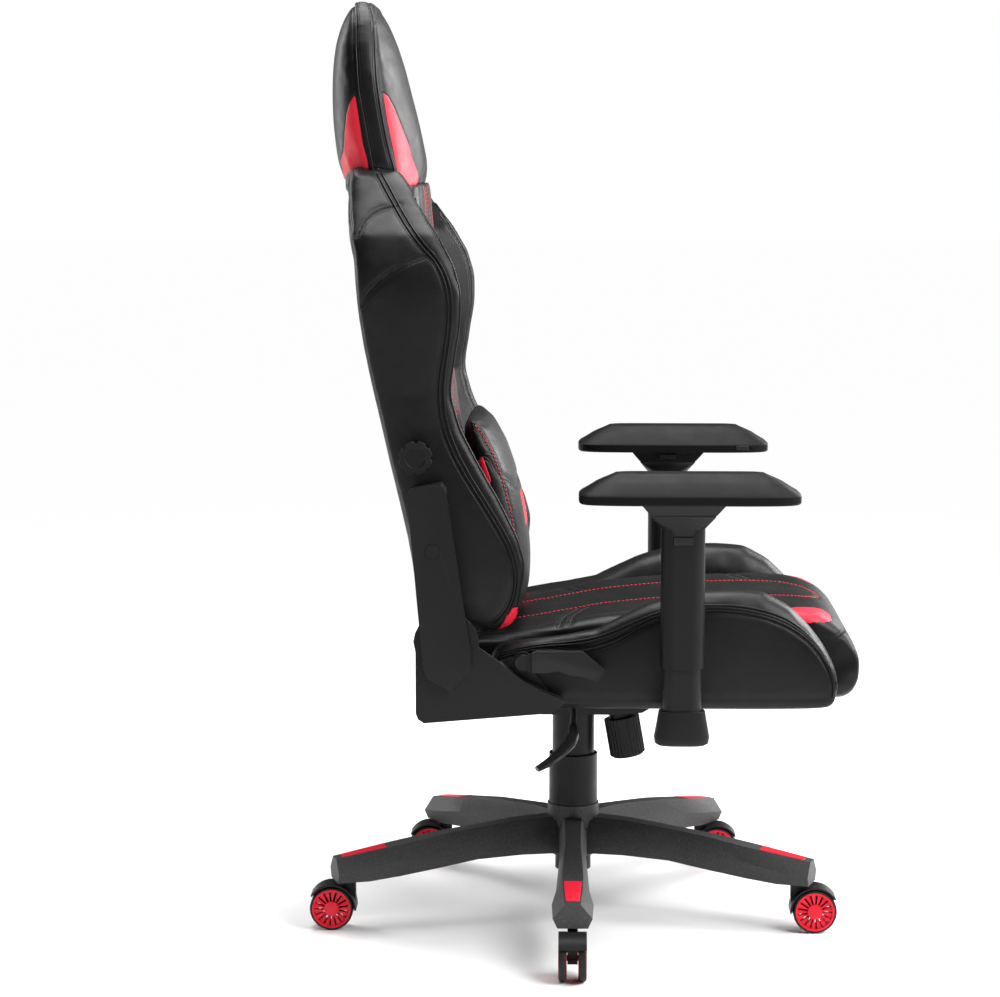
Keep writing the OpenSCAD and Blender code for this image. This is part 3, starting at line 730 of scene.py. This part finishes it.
def wing(side, word):
    """One side wing of the back."""
    c = Cushion("wing_cover_" + word, "back_wing_" + word, "back", shrink=2.0, cap=5.0,
                reshape=wing_reshape, dip=(1.8, 5.5))
    k = Corner("back_wing_" + word, side)
    half = stepped([(0, 240), (28, 254), (62, 257), (271, 253), (374, 256), (413, 259), (487, 258),
                    (523, 242), (568, 196), (600, 167), (614, 150)])

    def on_side(pairs, out=0.0, inward=0.0):
        return curve_through([k.at(x + out, z, half(z) - inward) for x, z in pairs])

    edge = [(43, 606), (73, 556), (99, 517), (126, 489), (140, 453), (142, 414), (137, 375), (130, 324),
            (135, 272), (157, 221), (189, 169), (219, 117), (230, 76), (224, 42), (213, 24), (200, 12)]
    rear = [(100, 28), (92, 92), (75, 174), (51, 271), (28, 374), (18, 452), (13, 523), (8, 562), (9, 600)]
    front = [(233, 28), (243, 62), (247, 92), (237, 127), (214, 174), (185, 226), (162, 271), (149, 317),
             (157, 374), (164, 413), (163, 452), (153, 487), (133, 523), (108, 562)]
    upper = on_side([(19, 527), (30, 542), (45, 555), (62, 561), (74, 563)])
    lower = on_side([(22, 430), (39, 452), (59, 469), (78, 483), (99, 493), (120, 500)])
    c.outer = on_side(edge)
    c.band = [on_side([(x + 5, z + 1) for x, z in edge[:-1]]), on_side(front, 3, 8)]
    c.seams = [c.outer, on_side(rear, -4, 14), upper, lower, on_side(front, 4, 36)]
    foot = k.flat([(250, 36), (250, -20), (192, -20), (201, 0), (213, 16), (220, 36)])
    heel = k.flat([(95, 22), (106, 22), (104, -8), (88, -8)])
    c.red_areas = [((0, 2), foot, lambda co: np.full(len(co), True)),
                   ((0, 2), heel, lambda co: np.full(len(co), True))]
    return c


def head_reshape(p):
    """Carries the head's foot down between the wings, along the back's slope."""
    if p.z < 1.05:
        p.z -= 0.028
        p.x += 0.004 if p.x > -0.26 else 0.002
    return p


def head_cushion():
    """The head's part of the back, with a raised band round its edge."""
    c = Cushion("head_cover", "back_pad", "back", cap=8.0, shrink=2.0, keep=lambda p: p.z > 1.036,
                reshape=head_reshape, dip=(1.1, 4.0), folds=0.12)
    rear_pairs = [(58, 600), (52, 634), (45, 674), (39, 705), (38, 729), (36, 762), (36, 800), (34, 818)]
    front_pairs = [(97, 596), (86, 634), (80, 663), (74, 696), (70, 718), (67, 751), (63, 785), (61, 818)]
    half = [156, 155, 155, 152, 148, 138, 118, 92]
    sides = [Corner("back_pad", s) for s in (-1, 1)]
    c.bands = []
    for pairs, top_x in ((rear_pairs, 24), (front_pairs, 58)):
        up = [sides[0].at(x, z, y) for (x, z), y in zip(pairs, half)]
        over = [sides[0].at(top_x, 840, y) for y in (60, 20, -20, -60)]
        down = [sides[1].at(x, z, y) for (x, z), y in reversed(list(zip(pairs, half)))]
        c.bands.append(curve_through(up + over + down))
    c.seams = list(c.bands)
    corner = sides[0].lo
    band_height, band_ramp = 2.4 * MM, 4 * MM

    def raised(co):
        x, z = co[:, 0], co[:, 2]
        limits = []
        for pairs in (rear_pairs + [(24, 840)], front_pairs + [(58, 840)]):
            heights = [corner.z + b * MM for _, b in pairs]
            limits.append(np.interp(z, heights, [corner.x + a * MM for a, _ in pairs]))
        inside = np.minimum(x - limits[0], limits[1] - x)
        return band_height * np.clip(inside / band_ramp, 0, 1)

    c.raised = raised
    rear_wedge = [(38, 706), (41, 685), (45, 660), (48, 638), (55, 614), (60, 560), (-5, 560), (0, 590),
                  (10, 610), (19, 629), (21, 651), (25, 678), (29, 691)]
    front_wedge = [(73, 707), (80, 702), (88, 687), (98, 660), (109, 629), (118, 603), (128, 566), (96, 560),
                   (92, 607), (85, 640), (79, 669), (75, 696)]
    for k in sides:
        c.seams.append(k.line(152, [(56, 607), (76, 605), (96, 604)]))
        for wedge in (rear_wedge, front_wedge):
            c.red_areas.append(((0, 2), k.flat(wedge), lambda co, s=k.side: s * co[:, 1] > 0.09))
    return c


def centre_cushion():
    """The back's middle panel between its wings."""
    c = Cushion("back_centre", "back_pad", "back", cap=7.0, keep=lambda p: p.z < 1.036)
    front_x = stepped([(0, 201), (80, 198), (160, 188), (260, 168), (320, 161), (410, 145), (500, 134),
                       (590, 129)])
    heights = (8, 60, 140, 220, 300, 380, 460, 540, 590)
    for s in (-1, 1):
        k = Corner("back_pad", s)

        def on_front(widths):
            return curve_through([k.at(front_x(z) + 6, z, y) for z, y in zip(heights, widths)])

        stripe = on_front((96, 100, 104, 104, 100, 96, 92, 82, 66))
        edge = on_front((140, 148, 152, 152, 150, 148, 148, 140, 118))
        mid = on_front((32, 34, 36, 36, 34, 32, 31, 28, 22))
        c.seams.append(edge)
        c.shallow.append(mid)
        c.threads.append(mid)
        c.red_lines.append((stripe, 3.4))
    return c


def rear_panel():
    """The leather over the rear of the back."""
    c = Cushion("back_rear_cover", "back_rear_panel", "back", voxel=5.0, shrink=1.0, cap=5.0,
                pressure=3.0, smooth=4, thicken=16.0, folds=0.12)
    rear_x = stepped([(0, 100), (80, 92), (160, 77), (260, 52), (320, 38), (410, 21), (500, 14), (590, 0)])
    heights = (4, 80, 160, 240, 320, 400, 480, 580)
    for s in (-1, 1):
        k = Corner("back_rear_panel", s)
        row = [k.at(rear_x(z) - 8, z, y) for z, y in zip(heights, (120, 126, 130, 130, 126, 122, 118, 96))]
        c.seams.append(curve_through(row))
    k = Corner("back_rear_panel", 1)
    for z in (70, 470):
        c.seams.append(curve_through([k.at(rear_x(z) - 8, z, y) for y in (-122, -60, 0, 60, 122)]))
    return c


def pillow():
    """The lumbar pillow, with red thread round its face."""
    c = Cushion("pillow_cover", "lumbar_pillow", "lumbar_pillow", voxel=5.5, shrink=4.0, cap=9.0,
                pressure=5.0)
    rim = [(60, 4), (78, 30), (84, 60), (84, 100), (76, 140), (66, 180), (56, 214), (42, 244), (28, 262),
           (16, 268)]
    cross = [(20, 222), (36, 224), (52, 218), (68, 204)]
    for s in (-1, 1):
        k = Corner("lumbar_pillow", s)
        c.seams.append(k.line(136, rim))
        c.threads.append(c.seams[-1])
        slit = k.flat([(20, 212), (30, 222), (42, 190), (38, 172)])
        c.red_areas.append(((0, 2), slit, lambda co, s=s: s * co[:, 1] > 0.12))
    k = Corner("lumbar_pillow", 1)
    right = [Corner("lumbar_pillow", -1).at(x, z, 150) for x, z in cross]
    left = [k.at(x, z, 150) for x, z in reversed(cross)]
    face = [k.at(95, 180, 70 * t) for t in (-1, 0, 1)]
    c.seams.append(curve_through(right + face + left))
    patch = [(-0.055, 0.555), (0.055, 0.555), (0.035, 0.600), (-0.035, 0.600)]
    c.red_areas.append(((1, 2), patch, lambda co: co[:, 0] > -0.10))
    return c


def seat_cushion():
    """The seat's middle and its front roll."""
    c = Cushion("seat_cover", "seat_cushion", "seat", shrink=2.0, cap=5.0, smooth=8, dip=(1.5, 4.5),
                folds=0.15)
    k = Corner("seat_cushion", 1)
    top = stepped([(0, 50), (12, 78), (102, 90), (185, 106), (260, 114), (323, 117), (400, 119), (450, 117),
                   (480, 110)])

    def on_top(points):
        return curve_through([k.at(x, top(x) + 6, y) for x, y in points])

    insert = [(10, 66), (150, 66), (300, 67), (400, 66), (446, 60), (474, 44), (488, 20), (490, 0)]
    outline = on_top(insert + [(x, -y) for x, y in reversed(insert[:-1])])
    c.shallow = [outline]
    c.threads = [outline]
    for s in (-1, 1):
        for x in (132, 146, 368, 382):
            c.seams.append(on_top([(x, s * 168), (x + 6, s * 120), (x + 26, s * 72)]))
        edge = on_top([(12, s * 150), (150, s * 152), (330, s * 153), (430, s * 146)])
        c.shallow.append(edge)
        wedge = [(320, 176), (400, 168), (440, 156), (470, 138), (486, 124), (497, 134), (497, 195),
                 (320, 195)]
        flat = [(k.lo.x + x * MM, s * y * MM) for x, y in wedge]
        c.red_areas.append(((0, 1), flat, lambda co: co[:, 2] > 0.443))
    across = [(505, 92, 176), (514, 88, 120), (518, 86, 60), (519, 85, 0), (518, 86, -60), (514, 88, -120),
              (505, 92, -176)]
    c.seams.append(curve_through([k.at(x, z, y) for x, z, y in across]))
    return c


def seat_bolster(side, word):
    """One side bolster of the seat, with a triple welt along its top."""

    def lower(p):
        if p.z < 0.36 and abs(p.y) > 0.2:
            p.z -= 0.006
        return p

    c = Cushion("bolster_cover_" + word, "seat_bolsters", "seat", shrink=1.0, cap=5.0,
                keep=lambda p: p.y * side > 0, reshape=lower, smooth=4, dip=(1.6, 4.5), folds=0.15)
    k = Corner("seat_bolsters", side)
    low = [(4, 66), (60, 77), (120, 78), (147, 85), (173, 96), (199, 108), (225, 118), (277, 127), (329, 126),
           (381, 114), (407, 102), (434, 84), (447, 64), (454, 40), (457, 16)]
    c.welts = []
    for d in (0, 6, 12):
        raised = [(x + d * 0.15, z + d) for x, z in low[:-2]]
        c.welts.append(k.line(270 - d * 0.5, raised + low[-2:]))
    c.seams = [c.welts[0]]
    c.shallow = [k.line(266, [(6, 20), (120, 8), (300, 8), (440, 10)])]
    return c


def upholster():
    """Makes, swells and finishes every cushion."""
    made = {
        "wing_right": wing(-1, "right"),
        "wing_left": wing(1, "left"),
        "head": head_cushion(),
        "centre": centre_cushion(),
        "rear": rear_panel(),
        "pillow": pillow(),
        "seat": seat_cushion(),
        "bolster_right": seat_bolster(-1, "right"),
        "bolster_left": seat_bolster(1, "left"),
    }
    for c in made.values():
        c.prepare()
    for number in range(1, FRAMES + 1):
        scene.frame_set(number)
    for c in made.values():
        c.settle()
    scene.frame_set(1)
    return made


def sew(made):
    """The cords, welts and threads on the finished cushions."""
    cord = MATERIALS["piping_leather"]
    back = []
    for word in ("right", "left"):
        w = made["wing_" + word]
        back.append(w.lay(w.outer, 0.8 * MM))
        back += [w.lay(line, 0.2 * MM) for line in w.band]
    piping("back_piping", "back", back, 1.5 * MM, cord)
    head = made["head"]
    bands = [head.lay(line, 0.3 * MM) for line in head.bands]
    piping("head_piping", "back", bands, 1.2 * MM, cord)
    seat = []
    for word in ("right", "left"):
        b = made["bolster_" + word]
        seat += [b.lay(line, 0.7 * MM) for line in b.welts]
    piping("seat_piping", "seat", seat, 1.4 * MM, cord)
    for name, body, c in (("seat_thread", "seat", made["seat"]),
                          ("back_thread", "back", made["centre"]),
                          ("pillow_thread", "lumbar_pillow", made["pillow"])):
        rows = [(c.lay(line), c.tree) for line in c.threads]
        stitches(name, body, rows, MATERIALS["red_thread"])


# ---- camera, floor and light ------------------------------------------------------------


def look(obj, target):
    """Turns a light to face a point."""
    obj.rotation_mode = "QUATERNION"
    obj.rotation_quaternion = (Vector(target) - obj.location).to_track_quat("-Z", "Y")


def soft_box(name, place, size, power, target):
    """A large soft light."""
    data = bpy.data.lights.new(name, "AREA")
    data.shape = "RECTANGLE"
    data.size, data.size_y = size
    data.energy = power
    obj = bpy.data.objects.new(name, data)
    scene.collection.objects.link(obj)
    obj.location = place
    look(obj, target)


def studio():
    """Pale floor, soft light and the camera."""
    floor = mesh_object("floor", [(-30, -30, 0), (30, -30, 0), (30, 30, 0), (-30, 30, 0)], [(0, 1, 2, 3)])
    floor.location.z = cad_lo.z - 0.4 * MM
    s = Shader("floor_paint", FLOOR_WHITE, 0.7, specular=0.2)
    reach = s.node("ShaderNodeVectorMath", [(0, s.place)], operation="LENGTH").outputs["Value"]
    s.set("Emission Color", (1, 1, 1, 1))
    s.link(s.between(reach, 0.8, 2.3, 0.0, 0.98), "Emission Strength")
    s.link(s.mix(s.between(reach, 1.0, 2.8), FLOOR_WHITE, (0.02, 0.02, 0.02)), "Base Color")
    floor.data.materials.append(s.done())
    world = bpy.data.worlds.new("studio")
    scene.world = world
    world.use_nodes = True
    tree = world.node_tree
    back = tree.nodes["Background"]
    seen = tree.nodes.new("ShaderNodeLightPath").outputs["Is Camera Ray"]
    level = tree.nodes.new("ShaderNodeMapRange")
    level.inputs["To Min"].default_value = 0.07
    level.inputs["To Max"].default_value = 1.0
    tree.links.new(seen, level.inputs["Value"])
    tree.links.new(level.outputs[0], back.inputs["Strength"])
    back.inputs["Color"].default_value = (1, 1, 1, 1)
    centre = (cad_lo + cad_hi) / 2
    soft_box("key", (1.9, -1.7, 2.8), (1.4, 1.4), 120, centre)
    soft_box("front", (2.7, -0.4, 2.0), (1.2, 2.2), 90, centre)
    soft_box("far_front", (2.3, 2.5, 1.8), (1.6, 2.0), 85, centre)
    soft_box("far_rear", (-2.5, 1.7, 1.7), (0.8, 2.2), 45, centre)
    soft_box("top", (-0.1, 0.4, 3.1), (2.2, 2.2), 135, centre)
    data = bpy.data.cameras.new("camera")
    data.sensor_width = 36
    data.lens = 36 * 2.852
    data.dof.use_dof = False
    camera = bpy.data.objects.new("camera", data)
    scene.collection.objects.link(camera)
    camera.location = (0.001, -3.95, 1.0714)
    yaw, pitch = 0.0264, 0.1219
    ahead = Vector((-math.sin(yaw) * math.cos(pitch), math.cos(yaw) * math.cos(pitch), -math.sin(pitch)))
    camera.rotation_mode = "QUATERNION"
    camera.rotation_quaternion = ahead.to_track_quat("-Z", "Y")
    scene.camera = camera
    scene.view_settings.view_transform = "Standard"
    scene.view_settings.look = "None"


studio()
dress_hard_parts()
cushions = upholster()
sew(cushions)
